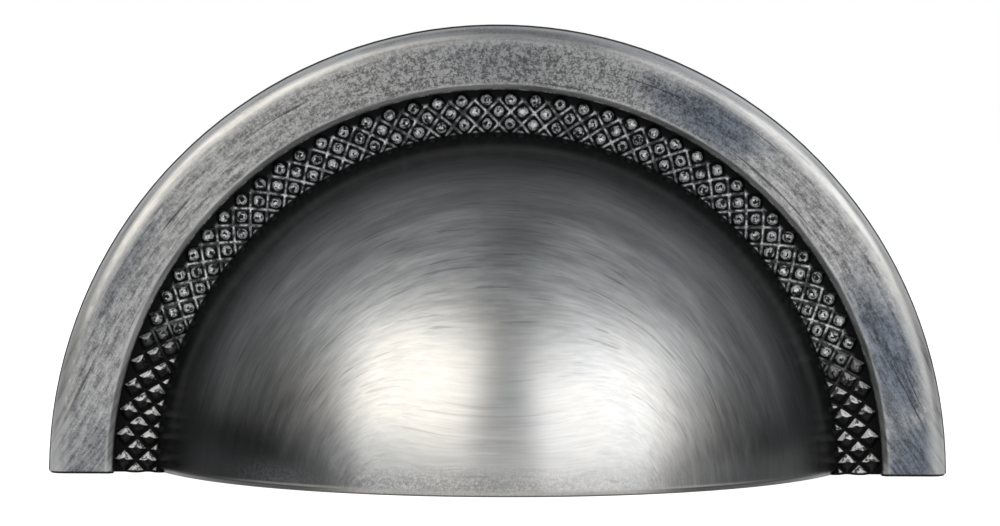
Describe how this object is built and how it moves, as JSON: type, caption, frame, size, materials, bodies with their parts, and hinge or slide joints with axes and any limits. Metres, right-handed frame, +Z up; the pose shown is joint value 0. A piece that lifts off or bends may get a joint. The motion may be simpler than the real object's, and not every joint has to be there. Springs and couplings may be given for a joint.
{
  "type": "shell pull",
  "caption": "Half-round cast drawer pull: a flat arched flange, a sunken knurled band and a hollow finger cup open below, fastened from behind by two tapped posts.",
  "frame": {"origin": "midway between the two screw holes, in the plane of the back", "axes": "+X along the line of the screw holes, +Y out of the back towards the drawer front, +Z up; the cup stands out towards -Y and opens towards -Z"},
  "size_m": [0.102, 0.027, 0.051],
  "materials": {
    "antiqued_metal": "brushed, darkened in the recesses and burnished on the high places"
  },
  "bodies": {
    "root": {"shell_pull": "antiqued_metal"}
  },
  "joints": []
}
